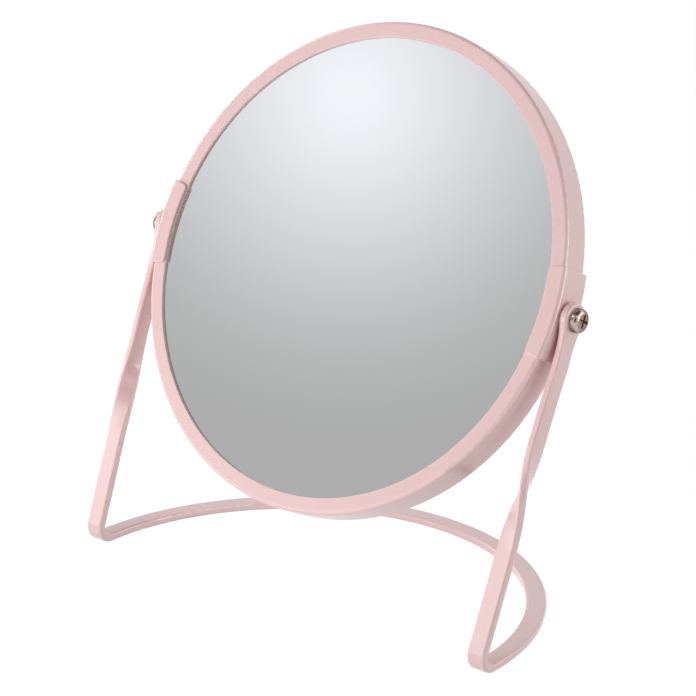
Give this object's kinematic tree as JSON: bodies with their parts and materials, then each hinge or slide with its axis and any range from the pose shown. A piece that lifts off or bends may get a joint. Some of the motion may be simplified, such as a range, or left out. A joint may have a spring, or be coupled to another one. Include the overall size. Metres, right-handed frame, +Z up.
{
  "type": "tabletop mirror",
  "caption": "Round double-sided tabletop mirror whose rimmed head turns end over end between the ears of a bent flat-bar stand.",
  "frame": {"origin": "on the table, under the middle of the object's box", "axes": "+Z up, -Y towards the viewer who faces the flat mirror, +X along the pivot axis to the viewer's right"},
  "size_m": [0.1844, 0.0948, 0.187],
  "materials": {
    "coated_steel": "pale pink satin powder coat",
    "mirror_glass": "silvered at the back",
    "spacer_plastic": "moulded",
    "nickel_plate": "bright nickel plate",
    "washer_plastic": "natural nylon",
    "zinc_steel": "zinc plate"
  },
  "bodies": {
    "stand": {"stand": "coated_steel"},
    "head": {"rim_hoop": "coated_steel", "front_mirror_glass": "mirror_glass", "rear_mirror_glass": "mirror_glass", "spacer_ring": "spacer_plastic", "right_clip": "coated_steel", "left_clip": "coated_steel", "right_screw": "nickel_plate", "left_screw": "nickel_plate", "right_friction_washer": "washer_plastic", "left_friction_washer": "washer_plastic", "right_nut": "zinc_steel", "left_nut": "zinc_steel"}
  },
  "joints": [
    {"name": "head_tilt", "type": "hinge", "parent": "stand", "child": "head", "pos_m": [0, -0.00239, 0.1087], "axis": [1, 0, 0], "continuous": true}
  ]
}
